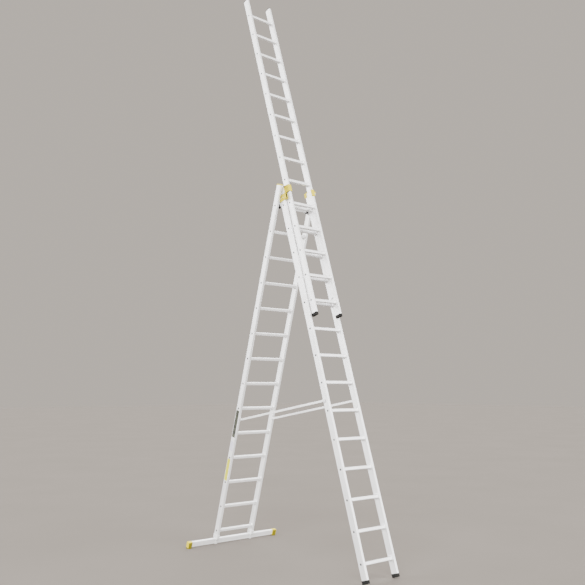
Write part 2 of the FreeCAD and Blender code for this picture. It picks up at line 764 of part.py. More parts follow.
def stabiliser_cap():
    """Moulded cap over the crossbar's end with a rim round its rubber pad."""
    end = stabiliser_length / 2
    start = end - end_cap_length
    depth = stabiliser_depth / 2
    wall = end_cap_wall
    shell = box(start, end, -depth - wall, depth + wall, stabiliser_low - wall, stabiliser_top + wall)
    brow = box(start, end, -depth - wall - end_cap_rim, -depth, stabiliser_top + wall - end_cap_top,
               stabiliser_top + wall)
    cheek = box(end - end_cap_rim, end, -depth - wall - end_cap_rim, -depth, stabiliser_low - wall,
                stabiliser_top + wall)
    void = box(start - 1, end - wall, -depth, depth, stabiliser_low, stabiliser_top)
    return fused([shell, brow, cheek]).cut(void)


def stabiliser_pad():
    """Rubber pad on the cap's front and underside, cut level with the floor."""
    end = stabiliser_length / 2
    face = stabiliser_depth / 2 + end_cap_wall
    low = stabiliser_low - end_cap_wall
    thick = end_cap_rim
    x0 = end - end_cap_length + thick
    x1 = end - thick
    front = box(x0, x1, -face - thick, -face, low, stabiliser_top + end_cap_wall - end_cap_top)
    sole = box(x0, x1, -face - thick, face, low - stabiliser_height, low)
    pad = fused([front, sole])
    floor = box(x0 - 1, x1 + 1, -stile_depth, stile_depth, -stabiliser_height, 0)
    under = rear_frame.inverse()
    spot = rear_frame.multVec(Vector(0, 0, low))
    floor.translate(Vector(0, spot.y, 0))
    floor.Placement = under * floor.Placement
    return pad.cut(floor)


# ------------------------------------------------------------------ whole ladder
def rear_section():
    """Nodes of the rear section."""
    wall = stile_wall
    holes = [along_x(rivet_radius, rear_inner - 1, rear_inner + wall + 1, y, z) for y, z in tab_rivets()]
    holes.append(along_x(bolt_radius, rear_inner - 1, rear_outer + 1, 0, stile_bolt_z()))
    side = stile(rear_inner, lowest_rear).cut(holes)
    return {
        "rear_stile_right": [side], "rear_stile_left": [mirrored(side)],
        "rear_rungs": rungs(rear_inner), "rear_rung_collars": rung_collars(rear_inner),
        "rear_rung_plugs": rung_plugs(rear_inner), "rear_rung_bolts": rung_bolts(rear_inner),
        "hinge_bushes": on_both_sides(hinge_bush()),
        "stabiliser_bar": [stabiliser_bar()],
        "stabiliser_bolts": saddle_bolts(), "stabiliser_nuts": saddle_nuts(),
        "spreader_bracket_rivets": bracket_rivet_set(), "spreader_pivot_hardware": pivot_hardware(),
        **handed("rear_top_cap", end_cap(rear_inner, rear_cap_lip, rear_cap_height)),
        **handed("stabiliser_saddle", saddle()),
        **handed("stabiliser_end_cap", stabiliser_cap()),
        **handed("stabiliser_pad", stabiliser_pad()),
        **handed("spreader_bracket", pivot_bracket()),
    }


def middle_section():
    """Nodes of the middle section."""
    wall = stile_wall
    centre = (claw_inner + claw_outer) / 2
    holes = guide_rivet_holes() + block_rivet_holes()
    holes += [along_y(rivet_radius, half_depth - wall - 1, half_depth + 1, centre, z)
              for z in claw_rivet_heights()]
    holes.append(along_x(stud_radius, middle_outer - wall - 1, middle_outer + 1, stud_back, -stud_drop))
    side = stile(middle_inner, lowest_front).cut(holes)
    return {
        "middle_stile_right": [side], "middle_stile_left": [mirrored(side)],
        "middle_rungs": rungs(middle_inner), "middle_rung_collars": rung_collars(middle_inner),
        "middle_rung_plugs": rung_plugs(middle_inner), "middle_rung_bolts": rung_bolts(middle_inner),
        "hinge_claw_rivets": claw_rivets(), "guide_rivets": guide_rivets(),
        "spreader_studs": on_both_sides(spreader_stud()),
        **handed("middle_foot", rubber_foot(middle_inner)),
        **handed("hinge_claw", hinge_claw()),
        **handed("guide_head", guide_head()),
        **handed("guide_block", guide_block()),
        **handed("guide_clamp", clamp_plate()),
        **handed("stile_hood", stile_hood()),
    }


def top_section():
    """Nodes of the top section."""
    hole = along_x(lock_pivot_radius, top_inner - 1, top_inner + stile_wall + 1, lock_pivot_back, lock_z)
    side = stile(top_inner, lowest_front).cut(hole)
    return {
        "top_stile_right": [side], "top_stile_left": [mirrored(side)],
        "top_rungs": rungs(top_inner), "top_rung_collars": rung_collars(top_inner),
        "top_rung_plugs": rung_plugs(top_inner), "top_rung_bolts": rung_bolts(top_inner),
        "lock_pivots": on_both_sides(lock_pivot()), "lock_springs": on_both_sides(lock_spring()),
        **handed("top_foot", rubber_foot(top_inner)),
        **handed("top_end_cap", end_cap(top_inner, 0, top_cap_height)),
        **handed("rung_lock", rung_lock()),
    }


def handed(name, shape):
    """Right-hand and left-hand nodes of one piece."""
    return {name + "_right": [shape], name + "_left": [mirrored(shape)]}


def placed(nodes, frame):
    """Nodes as compounds, in the ladder's frame."""
    result = {}
    for name, solids in nodes.items():
        moved_solids = []
        for solid in solids:
            copy = solid.copy()
            copy.Placement = frame * copy.Placement
            moved_solids.append(copy)
        result[name] = moved_solids[0] if len(moved_solids) == 1 else Part.makeCompound(moved_solids)
    return result


def ladder():
    """Every node in place, the ladder centred on its footprint."""
    nodes = placed(rear_section(), rear_frame)
    nodes.update(placed(middle_section(), middle_frame))
    nodes.update(placed(top_section(), top_frame))
    nodes.update(placed(handed("spreader_bar", spreader_bar()), bar_frame()))
    boxes = [shape.BoundBox for shape in nodes.values()]
    shift = -(min(b.YMin for b in boxes) + max(b.YMax for b in boxes)) / 2
    for shape in nodes.values():
        shape.translate(Vector(0, shift, 0))
    return nodes, shift


def main():
    """Write one STEP file per node and print the places that the joints need."""
    nodes, shift = ladder()
    os.makedirs("parts", exist_ok=True)
    for name, shape in nodes.items():
        shape.exportStep("parts/" + name + ".step")
    pivot, stud = bar_points()
    centre = Vector(0, shift, 0)
    lock = top_frame.multVec(Vector(lock_inner, lock_pivot_back, lock_z))
    print("nodes", len(nodes))
    print("fold axis", hinge_point + centre, "fold", front_lean + rear_lean)
    print("bar pivot", pivot + centre, "stud", stud + centre, "swing", bar_swing())
    print("lock pivot", lock + centre)
    print("middle origin", middle_frame.Base + centre)
    print("top origin", top_frame.Base + centre)


main()
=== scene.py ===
import json
import math

import bpy
import numpy as np
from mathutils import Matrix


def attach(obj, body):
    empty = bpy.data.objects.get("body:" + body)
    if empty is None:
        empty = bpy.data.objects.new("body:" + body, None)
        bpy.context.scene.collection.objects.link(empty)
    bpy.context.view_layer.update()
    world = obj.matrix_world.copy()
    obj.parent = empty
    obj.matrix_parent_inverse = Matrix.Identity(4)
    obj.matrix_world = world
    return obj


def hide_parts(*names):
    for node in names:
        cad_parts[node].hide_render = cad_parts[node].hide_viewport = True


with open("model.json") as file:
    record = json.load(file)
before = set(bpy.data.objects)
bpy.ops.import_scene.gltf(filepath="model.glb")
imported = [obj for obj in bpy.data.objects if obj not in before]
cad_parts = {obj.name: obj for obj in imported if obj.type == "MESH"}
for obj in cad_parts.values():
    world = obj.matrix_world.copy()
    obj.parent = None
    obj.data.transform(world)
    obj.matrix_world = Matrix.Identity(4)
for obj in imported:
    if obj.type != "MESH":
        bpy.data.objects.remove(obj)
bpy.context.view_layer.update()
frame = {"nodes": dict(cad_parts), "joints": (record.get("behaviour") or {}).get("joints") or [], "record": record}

# ------------------------------------------------------------------ sizes, metres and radians
joints = {j["name"]: j for j in frame["joints"]}
fold_axis = np.array(joints["fold"]["pos_m"])
slide_way = np.array(joints["top_slide"]["axis"])
bar_pivot = np.array(joints["right_bar_swing"]["pos_m"])
front_lean = math.atan2(slide_way[1], slide_way[2])
rear_lean = math.radians(joints["fold"]["range_deg"][1]) - front_lean

# rungs, at equal steps down each section from its uppermost rung
rung_pitch = 0.280
rung_count = 14
rung_half = 0.015
rung_corner = 0.005
groove_places = (0.0075, 0.0025, -0.0025, -0.0075)
groove_width = 0.0018
groove_depth = 0.0007
collar_length = 0.018
collar_lip = 0.0004
collar_flare = 0.0141

# stiles
half_depth = 0.036
stile_width = 0.025
stile_corner = 0.004
stile_above = 0.220
top_inner, middle_inner, rear_inner = 0.151, 0.181, 0.2237
below_front, below_rear = 0.135, 0.089       # stile below the lowest rung
lowest_rung = -(rung_count - 1) * rung_pitch
lowest_front = lowest_rung - below_front
lowest_rear = lowest_rung - below_rear
middle_outer = middle_inner + stile_width
rear_outer = rear_inner + stile_width
rib_edge = 0.010          # shallow rib lines this far from a stile's edges
rib_width = 0.0018
rib_depth = 0.0007

# how the sections sit together
fold_back, fold_rise = 0.085, 0.034
top_offset = 0.070
run_up = 9 * rung_pitch

support = 0.0002          # flat margin beside every rounded edge, so that broad faces shade flat
cut_edge = 0.0003         # rounding of a sawn end
moulded_seam = 0.0004     # rounding where a cap meets its stile
crease = math.radians(40)  # edges sharper than this stay sharp


# ------------------------------------------------------------------ surfaces
def leant(points, lean, origin=(0, 0, 0)):
    """Points turned about X so that their Z axis leans towards +Y, then moved to the origin."""
    y = points[..., 1] * math.cos(lean) + points[..., 2] * math.sin(lean)
    z = points[..., 2] * math.cos(lean) - points[..., 1] * math.sin(lean)
    return np.stack([points[..., 0], y, z], -1) + np.asarray(origin)


def outline(points, radii, steps=5):
    """Closed outline and its outward normals. At each corner the normal turns evenly from one edge's
    normal to the next's, and the point is the corner's centre plus the radius times that normal."""
    p = np.array(points, float)
    r = np.broadcast_to(np.array(radii, float), len(p))
    after = np.roll(p, -1, 0)
    if np.sum(p[:, 0] * after[:, 1] - after[:, 0] * p[:, 1]) < 0:
        p, r = p[::-1], r[::-1]
        after = np.roll(p, -1, 0)
    facing = np.arctan2(after[:, 1] - p[:, 1], after[:, 0] - p[:, 0]) - np.pi / 2
    before = np.roll(facing, 1)
    turn = (facing - before + np.pi) % (2 * np.pi) - np.pi
    side = np.sign(turn) * r
    bisector = before + turn / 2
    inwards = np.stack([np.cos(bisector), np.sin(bisector)], -1)
    centre = p - (side / np.cos(turn / 2))[:, None] * inwards
    angle = before[:, None] + turn[:, None] * np.linspace(0, 1, steps)
    normal = np.stack([np.cos(angle), np.sin(angle)], -1)
    bend = centre[:, None] + side[:, None, None] * normal
    along = support * np.stack([-normal[..., 1], normal[..., 0]], -1)
    bend = np.concatenate([bend[:, :1] - along[:, :1], bend, bend[:, -1:] + along[:, -1:]], 1)
    normal = np.concatenate([normal[:, :1], normal, normal[:, -1:]], 1)
    return bend.reshape(-1, 2), normal.reshape(-1, 2)


def rectangle(x0, x1, y0, y1, radius):
    """Rectangle with rounded corners, as an outline."""
    return outline([(x0, y0), (x1, y0), (x1, y1), (x0, y1)], radius)


def freeform(points):
    """Outline through dense points, each normal square to the chord between the point's neighbours."""
    p = np.array(points, float)
    chord = np.roll(p, -1, 0) - np.roll(p, 1, 0)
    normal = np.stack([chord[:, 1], -chord[:, 0]], -1)
    return p, normal / np.linalg.norm(normal, axis=1, keepdims=True)


def arc(centre, radius, start, end, count):
    """Points round a centre, by angle in degrees."""
    a = np.radians(np.linspace(start, end, count))
    return np.stack([centre[0] + radius * np.cos(a), centre[1] + radius * np.sin(a)], -1)


def carried(path, profile, axis=2):
    """Skin whose ring k is the outline drawn in by the profile's inset k, at the profile's height k
    along an axis: point(j, k) = outline(j) - inset(k) normal(j). The outline's two axes are the ones
    that follow that axis in the cycle X, Y, Z."""
    points, normals = path
    inset, height = np.array(profile, float).T
    flat = points[None] - inset[:, None, None] * normals[None]
    level = np.broadcast_to(height[:, None, None], flat.shape[:2] + (1,))
    return np.roll(np.concatenate([flat, level], -1), (axis + 1) % 3, -1)


def quarter_round(edge):
    """Insets and rises of a rim: inset = edge (1 - sin), rise = edge (1 - cos), over a quarter turn."""
    q = np.linspace(0, np.pi / 2, 4)
    inset = np.concatenate([[edge + support], edge * (1 - np.sin(q)), [0]])
    rise = np.concatenate([[0], edge * (1 - np.cos(q)), [edge + support]])
    return inset, rise


def prism(path, low, high, edge, axis=2, edge_high=None):
    """Skin of an outline carried from low to high, with a quarter round at each rim."""
    inset, rise = quarter_round(edge)
    inset_high, drop = quarter_round(edge if edge_high is None else edge_high)
    insets = np.concatenate([inset, inset_high[::-1]])
    heights = np.concatenate([low + rise, high - drop[::-1]])
    return carried(path, np.stack([insets, heights], -1), axis)


def block(x, y, z, radius, edge, axis):
    """Rounded box between pairs of limits: corners of the radius along the axis, rims of the edge."""
    limits = (x, y, z)
    u, v = limits[(axis + 1) % 3], limits[(axis + 2) % 3]
    return prism(rectangle(*u, *v, radius), *limits[axis], edge, axis)


def turned(profile, centre, count):
    """Skin of revolution: radius and height pairs turned about the line along X through the centre."""
    radius, height = np.array(profile, float).T
    a = np.linspace(0, 2 * np.pi, count, endpoint=False)
    ring = radius[:, None, None] * np.stack([np.cos(a), np.sin(a)], -1)
    level = np.broadcast_to(height[:, None, None], ring.shape[:2] + (1,))
    return np.concatenate([level, ring], -1) + np.asarray(centre)


def mirrored(skins):
    """The other hand of some skins: X negated, and each ring run the other way to face outwards."""
    return [skin[:, ::-1] * (-1, 1, 1) for skin in skins]


def on_both_sides(skins):
    """Right-hand skins and their mirror images."""
    return skins + mirrored(skins)


def at_every_rung(skins):
    """Skins repeated at each rung of a section."""
    return [skin + (0, 0, -i * rung_pitch) for i in range(rung_count) for skin in skins]


# ------------------------------------------------------------------ making objects
def piece(name, skins, place, coat, replaced):
    """One closed mesh from skins in a section's own frame: quads between rings, a face on each end."""
    corners, faces, start = [], [], 0
    for skin in skins:
        rings, count = skin.shape[:2]
        i = np.arange(rings - 1)[:, None] * count + start
        j = np.arange(count)[None]
        k = (j + 1) % count
        quads = np.stack([i + j, i + k, i + count + k, i + count + j], -1)
        faces += quads.reshape(-1, 4).tolist()
        faces.append(list(range(start + count - 1, start - 1, -1)))
        faces.append(list(range(start + (rings - 1) * count, start + rings * count)))
        corners.append(skin.reshape(-1, 3))
        start += rings * count
    mesh = bpy.data.meshes.new(name)
    placed = leant(np.concatenate(corners), place["lean"], place["origin"])
    mesh.from_pydata(placed.tolist(), [], faces)
    mesh.shade_smooth()
    mesh.set_sharp_from_angle(angle=crease)
    made = bpy.data.objects.new(name, mesh)
    bpy.context.scene.collection.objects.link(made)
    mesh.materials.append(coat)
    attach(made, place["body"])
    if replaced:
        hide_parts(*replaced)


def pair(name, skins, place, coat, node=None):
    """Right-hand piece and its mirror image, each standing for its own CAD node, where it has one."""
    for side, hand in (("_right", skins), ("_left", mirrored(skins))):
        piece(name + side, hand, place, coat, [node + side] if node else [])


middle_origin = fold_axis - leant(np.array([0, fold_back, fold_rise]), front_lean)
middle = {"body": "middle", "lean": front_lean, "origin": middle_origin}
rear = {"body": "rear", "lean": -rear_lean, "origin": fold_axis}
top = {"body": "top", "lean": front_lean,
       "origin": leant(np.array([0, -top_offset, run_up]), front_lean, middle_origin)}


# ------------------------------------------------------------------ materials
def shader_node(tree, kind, inputs, **settings):
    """Node with its settings and sockets set; a socket given as a value takes a link."""
    made = tree.nodes.new("ShaderNode" + kind)
    for key, value in settings.items():
        setattr(made, key, value)
    for key, value in inputs.items():
        if isinstance(value, bpy.types.NodeSocket):
            tree.links.new(value, made.inputs[key])
        else:
            made.inputs[key].default_value = value
    return made


def along_grain(tree, lean, grain):
    """Object coordinates turned upright with a leaning section, divided by the grain's three sizes."""
    place = shader_node(tree, "TexCoord", {}).outputs["Object"]
    turn = {"Vector": place, "Rotation": (-lean, 0, 0), "Scale": grain}
    return shader_node(tree, "Mapping", turn, vector_type="TEXTURE").outputs["Vector"]


def noise(tree, where, scale=1.0, detail=3.0):
    """Fractal noise value."""
    settings = {"Vector": where, "Scale": scale, "Detail": detail, "Roughness": 0.55}
    return shader_node(tree, "TexNoise", settings).outputs["Fac"]


def between(tree, value, low, high, start=0.3, end=0.7):
    """Number that runs from low to high while the value runs from start to end."""
    limits = {"Value": value, "From Min": start, "From Max": end, "To Min": low, "To Max": high}
    return shader_node(tree, "MapRange", limits).outputs["Result"]


def added(tree, first, second):
    """Sum of two values."""
    return shader_node(tree, "Math", {0: first, 1: second}, operation="ADD").outputs[0]


def blended(tree, value, first, second):
    """Colour between two, each a colour or a node's output, by a value."""
    return shader_node(tree, "Mix", {0: value, 6: first, 7: second}, data_type="RGBA").outputs[2]


def finish(name, grain, colours, roughness, metallic=0.0, bump=(0.2, 0.0003), lean=0.0, fine=900.0,
           wear=None, gloss=0.5):
    """Procedural finish. Noise stretched to the grain mixes two colours and two roughnesses and raises a
    bump, and finer noise adds to the bump. Wear, where given, is a colour and an extra roughness that
    broad noise lays on in patches. Bump is a strength and a height."""
    made = bpy.data.materials.new(name)
    made.use_nodes = True
    tree = made.node_tree
    shader = tree.nodes["Principled BSDF"]
    drawn = noise(tree, along_grain(tree, lean, grain))
    place = along_grain(tree, lean, (1, 1, 1))
    first, second = ((*c, 1) for c in colours)
    colour = blended(tree, between(tree, drawn, 0, 1), first, second)
    dull = between(tree, drawn, *roughness)
    if wear:
        broad = noise(tree, place, 6.0, 4.0)
        colour = blended(tree, between(tree, broad, 0, 1, 0.52, 0.70), colour, (*wear[0], 1))
        dull = added(tree, dull, between(tree, broad, 0, wear[1], 0.45, 0.75))
    height = added(tree, drawn, noise(tree, place, fine, 2.0))
    relief = shader_node(tree, "Bump", {"Height": height, "Strength": bump[0], "Distance": bump[1]})
    tree.links.new(colour, shader.inputs["Base Color"])
    tree.links.new(dull, shader.inputs["Roughness"])
    tree.links.new(relief.outputs["Normal"], shader.inputs["Normal"])
    shader.inputs["Metallic"].default_value = metallic
    shader.inputs["Specular IOR Level"].default_value = gloss
    return made


bright = ((0.80, 0.806, 0.815), (0.955, 0.958, 0.962))
handled = ((0.86, 0.86, 0.855), 0.12)
long_lines = 0.60         # drawn lines of an extrusion: long one way, fine the others
fine_lines = 0.0022


def milled(name, lean, upright=True):
    """Mill-finish extrusion: fine drawn lines along the section, faint handling marks."""
    grain = (fine_lines, fine_lines, long_lines) if upright else (long_lines, fine_lines, fine_lines)
    return finish(name, grain, bright, roughness=(0.28, 0.48), metallic=0.45, bump=(0.12, 0.0003),
                  lean=lean, fine=700.0, wear=handled)


def vinyl(name, colours, wear, grain=0.004, lean=0.0, gloss=0.5):
    """Printed vinyl patch: a smooth film whose colour varies a little, or in blots where the grain is
    coarse."""
    return finish(name, (grain,) * 3, colours, roughness=(0.35, 0.50), bump=(0.1, 0.0002), lean=lean,
                  wear=(wear, 0.1), gloss=gloss)


stile_finish = {"rear": milled("drawn_aluminium_rear", -rear_lean),
                "middle": milled("drawn_aluminium_front", front_lean),
                "top": milled("drawn_aluminium_front_top", front_lean)}
rung_finish = milled("drawn_aluminium_rungs", 0.0, upright=False)
cast_finish = finish(
    "satin_casting", grain=(0.004,) * 3, colours=((0.86, 0.865, 0.87), (0.92, 0.925, 0.93)),
    roughness=(0.40, 0.54), metallic=0.4, bump=(0.25, 0.0004), fine=1300.0, wear=handled)
yellow_finish = finish(
    "yellow_moulding", grain=(0.02,) * 3, colours=((0.60, 0.49, 0.004), (0.68, 0.555, 0.006)),
    roughness=(0.42, 0.55), bump=(0.18, 0.0003), fine=1600.0, wear=((0.54, 0.44, 0.010), 0.08),
    gloss=0.35)
rubber_finish = finish(
    "black_rubber_sole", grain=(0.006,) * 3, colours=((0.006, 0.006, 0.006), (0.014, 0.014, 0.013)),
    roughness=(0.62, 0.80), bump=(0.35, 0.0005), fine=1100.0, wear=((0.026, 0.025, 0.022), 0.1),
    gloss=0.2)
# olive pad colours are painted shade: a darkened yellow standing in for the shaded front of the yellow end cap
painted_shade_olive_finish = finish(
    "painted_shade_olive_pad", grain=(0.006,) * 3, colours=((0.150, 0.125, 0.002), (0.200, 0.168, 0.004)),
    roughness=(0.60, 0.78), bump=(0.35, 0.0005), fine=1100.0, wear=((0.14, 0.120, 0.012), 0.1),
    gloss=0.2)
plastic_finish = finish(
    "black_moulding", grain=(0.01,) * 3, colours=((0.014, 0.014, 0.015), (0.026, 0.026, 0.027)),
    roughness=(0.36, 0.50), fine=1500.0, wear=((0.040, 0.040, 0.040), 0.1), gloss=0.35)
bolt_finish = finish(
    "phosphated_steel", grain=(0.002,) * 3, colours=((0.020, 0.021, 0.023), (0.045, 0.046, 0.049)),
    roughness=(0.40, 0.55), metallic=0.5, bump=(0.2, 0.0002), fine=1800.0,
    wear=((0.07, 0.07, 0.07), 0.05))
zinc_finish = finish(
    "zinc_plate", grain=(0.007,) * 3, colours=((0.78, 0.785, 0.80), (0.90, 0.905, 0.91)),
    roughness=(0.28, 0.44), metallic=0.5, bump=(0.15, 0.0002), fine=1200.0,
    wear=((0.76, 0.76, 0.74), 0.08))
dark_label = vinyl(
    "dark_vinyl", colours=((0.006, 0.008, 0.005), (0.085, 0.090, 0.062)), wear=(0.050, 0.052, 0.040),
    grain=0.035, lean=-rear_lean, gloss=0.3)
grey_label = vinyl(
    "grey_vinyl", colours=((0.60, 0.58, 0.68), (0.68, 0.66, 0.75)), wear=(0.66, 0.66, 0.68))
yellow_label = vinyl(
    "yellow_vinyl", colours=((0.56, 0.53, 0.010), (0.66, 0.62, 0.016)), wear=(0.60, 0.57, 0.06),
    gloss=0.3)


# ------------------------------------------------------------------ stiles, rungs and rung ends
def stile(inner, low):
    """Stile's outer skin: a box section with two shallow rib lines along its outer face."""
    outer = inner + stile_width
    rib = half_depth - rib_edge
    inside = outer - rib_depth
    points = [(inner, -half_depth), (outer, -half_depth)]
    for y in (-rib, rib):
        points += [(outer, y - rib_width / 2), (inside, y - rib_width / 2),
                   (inside, y + rib_width / 2), (outer, y + rib_width / 2)]
    points += [(outer, half_depth), (inner, half_depth)]
    radii = [stile_corner] * 2 + [rib_depth / 3] * 8 + [stile_corner] * 2
    return [prism(outline(points, radii), low, stile_above, cut_edge)]


def rungs(inner):
    """Square tubes, their treads cut by grip grooves."""
    points = [(-rung_half, -rung_half), (rung_half, -rung_half), (rung_half, rung_half)]
    low = rung_half - groove_depth
    for y in groove_places:
        points += [(y + groove_width / 2, rung_half), (y + groove_width / 2, low),
                   (y - groove_width / 2, low), (y - groove_width / 2, rung_half)]
    points.append((-rung_half, rung_half))
    radii = [rung_corner] * 3 + [groove_depth / 3] * 4 * len(groove_places) + [rung_corner]
    reach = inner + stile_corner
    return at_every_rung([prism(outline(points, radii), -reach, reach, cut_edge, axis=0)])


def rung_ends(inner):
    """Flared rung ends: at turn t of a quarter circle the square's half side is rung + flare (1 - cos t),
    at the distance length (1 - sin t) from the stile, its corners rounding as it grows. A short skirt
    runs on into the stile."""
    skirt = 0.001
    turns = np.linspace(0, np.pi / 2, 12)
    halves = rung_half + collar_lip + collar_flare * (1 - np.cos(turns))
    places = inner - collar_length * (1 - np.sin(turns))
    rings = []
    for half, x in zip(halves, places):
        square, _ = rectangle(-half, half, -half, half, rung_corner + half - rung_half)
        rings.append(np.concatenate([np.full((len(square), 1), x), square], 1))
    rings.append(rings[-1] + (skirt, 0, 0))
    return at_every_rung(on_both_sides([np.stack(rings)]))


def socket_heads(outer):
    """Low bolt heads with a hexagon socket. The head is turned from radius and rise pairs, and the
    socket's radius is apothem / cos of the angle from the middle of its side."""
    head, height, apothem, deep = 0.0095, 0.0023, 0.0038, 0.0014
    sunk, chamfer, count = 0.0008, 0.0002, 36
    turn = np.linspace(0, 2 * np.pi, count, endpoint=False)
    socket = apothem / np.cos(turn % (np.pi / 3) - np.pi / 6)
    dome = head * np.array([1, 1, 0.97, 0.88, 0.76])
    dome_rise = height * np.array([0, 0.45, 0.75, 0.95, 1]) - [sunk, 0, 0, 0, 0]
    radius = np.concatenate([np.repeat(dome[:, None], count, 1), socket * [[1.08], [1], [1]]])
    level = np.concatenate([dome_rise, [height, height - chamfer, height - deep]])
    x = np.broadcast_to(outer + level[:, None], radius.shape)
    head_skin = np.stack([x, radius * np.cos(turn), radius * np.sin(turn)], -1)
    return at_every_rung(on_both_sides([head_skin]))


def add_section(name, place, inner, low):
    """Stiles, rungs, flared rung ends and bolt heads of one section."""
    outer = inner + stile_width
    pair(name + "_stile_profile", stile(inner, low), place, stile_finish[name],
         name + "_stile")
    piece(name + "_rung_tubes", rungs(inner), place, rung_finish,
          [name + "_rungs"])
    piece(name + "_rung_ends", rung_ends(inner), place, rung_finish,
          [name + "_rung_collars"])
    piece(name + "_bolt_heads", socket_heads(outer), place, bolt_finish,
          [name + "_rung_bolts"])


add_section("rear", rear, rear_inner, lowest_rear)
add_section("middle", middle, middle_inner, lowest_front)
add_section("top", top, top_inner, lowest_front)


# ------------------------------------------------------------------ feet and caps
def sole(inner):
    """Rubber foot: a side view with a grooved tread, carried across the stile's width."""
    lip, height, edge, corner = 0.001, 0.032, 0.0009, 0.003
    grooves, width, depth = 8, 0.004, 0.002
    half = half_depth + lip
    low = lowest_front - height
    step = 2 * half / (grooves + 1)
    points = [(-half, low)]
    for y in -half + step * np.arange(1, grooves + 1):
        points += [(y - width / 2, low), (y - width / 2, low + depth),
                   (y + width / 2, low + depth), (y + width / 2, low)]
    points += [(half, low), (half, lowest_front), (-half, lowest_front)]
    radii = [corner] + [edge] * 4 * grooves + [corner, edge, edge]
    view = outline(points, radii, steps=3)
    return [prism(view, inner - lip, inner + stile_width + lip, edge, axis=0)]


def cap(inner, lip, height):
    """Cap over a stile's end, its upper rim rounded."""
    deep = half_depth + lip
    path = rectangle(inner - lip, inner + stile_width + lip, -deep, deep, stile_corner + lip)
    return [prism(path, stile_above, stile_above + height, moulded_seam, edge_high=0.004)]


def hood():
    """Hood over the middle stile's end: a cover, and a skirt folded round the stile's back."""
    wall, back, cheek, skirt, height = 0.0035, 0.047, 0.010, 0.046, 0.012
    tip, inside, corner = 0.0012, 0.002, 0.003
    x0, x1 = middle_inner, middle_outer
    u_shape = [(x0 - wall, cheek), (x0, cheek), (x0, half_depth), (x1, half_depth), (x1, cheek),
               (x1 + wall, cheek), (x1 + wall, back), (x0 - wall, back)]
    radii = [tip, tip, inside, inside, tip, tip, corner, corner]
    cover = prism(rectangle(x0 - wall, x1 + wall, -half_depth, back, corner), stile_above,
                  stile_above + height, moulded_seam, edge_high=0.0028)
    overlap = 0.001
    folded = prism(outline(u_shape, radii), stile_above - skirt, stile_above + overlap, 0.001)
    return [folded, cover]


pair("middle_foot_sole", sole(middle_inner), middle, rubber_finish, "middle_foot")
pair("top_foot_sole", sole(top_inner), top, rubber_finish, "top_foot")
pair("top_stile_cap", cap(top_inner, lip=0.0, height=0.0118), top, plastic_finish,
     "top_end_cap")
pair("rear_stile_cap", cap(rear_inner, lip=0.0012, height=0.012), rear, yellow_finish,
     "rear_top_cap")
pair("middle_stile_hood", hood(), middle, yellow_finish, "stile_hood")


# ------------------------------------------------------------------ guides for the top section
guide_inner, guide_outer = 0.1805, 0.210
clip_low, clip_high = 0.122, 0.200
block_low, block_high = 0.047, 0.120
block_front = -half_depth - 0.031
guide_wall = 0.005


def guide_clip():
    """Clip round the front of the top stile: its plan is a C with a flange, and ribs stiffen its side."""
    tip, catch = 0.142, 0.149
    front, back, end = -0.1122, -0.1072, -0.1007
    outer = guide_inner + guide_wall
    flange = -half_depth - guide_wall
    plan = [(tip, front), (outer, front), (outer, flange), (middle_outer, flange),
            (middle_outer, -half_depth), (guide_inner, -half_depth), (guide_inner, back),
            (catch, back), (catch, end), (tip, end)]
    soft, bend = 0.0015, 0.001
    radii = [0.003, 0.004, soft, soft, soft, bend, 0.002, bend, soft, soft]
    rib, rib_round, rib_front, rib_back = 0.005, 0.0012, -0.102, -0.048
    ribs = [block((outer - 0.001, outer + 0.0016), (rib_front, rib_back), (z, z + rib),
                  rib_round, rib_round, axis=0)
            for z in np.linspace(clip_low + 2 * rib, clip_high - 3 * rib, 4)]
    return [prism(outline(plan, radii), clip_low, clip_high, 0.0014)] + ribs


def hollow_block():
    """Block beside the top stile. Its profile runs from the pocket's floor up the inside, over the rim
    in two quarter turns, inset = wall - lip (1 - cos) and then lip (1 - sin), and back down the
    outside. A plate lies on the middle stile's face."""
    deep, lip = 0.022, 0.0015
    path = rectangle(block_low, block_high, guide_inner, guide_outer, 0.006)
    q = np.linspace(0, np.pi / 2, 4)
    inset = np.concatenate([[guide_wall] * 3, guide_wall - lip * (1 - np.cos(q)),
                            lip * (1 - np.sin(q)), [0, 0]])
    rise = np.concatenate([[deep, deep - support, lip], lip * (1 - np.sin(q)),
                           lip * (1 - np.cos(q)), [lip + support, -half_depth - block_front]])
    plate = block((middle_outer, guide_outer), (-half_depth - 0.001, half_depth),
                  (block_low, block_high), 0.004, 0.0012, axis=0)
    return [carried(path, np.stack([inset, block_front + rise], -1), axis=1), plate]


def pocket_painted_shade():
    """Dark pad, painted shade standing in for the darkness inside the block's hollow pocket, filling it to just
    below its rim.
    """
    wall = guide_wall + 0.0002
    return [block((guide_inner + wall, guide_outer - wall), (block_front + 0.003, block_front + 0.0225),
                  (block_low + wall, block_high - wall), 0.004, 0.002, axis=1)]


def clamp():
    """Aluminium plate over the clip's flange."""
    inner, front, back = 0.1875, -0.0435, -0.041
    return [block((inner, middle_outer), (front, back), (clip_low, clip_high), 0.003, 0.0006, axis=1)]


pair("guide_clip", guide_clip(), middle, yellow_finish, "guide_head")
pair("guide_hollow_block", hollow_block(), middle, yellow_finish, "guide_block")
# dark pad that paints the shade inside each guide block's pocket
pair("guide_pocket_painted_shade", pocket_painted_shade(), middle, rubber_finish)
pair("guide_clamp_plate", clamp(), middle, cast_finish, "guide_clamp")


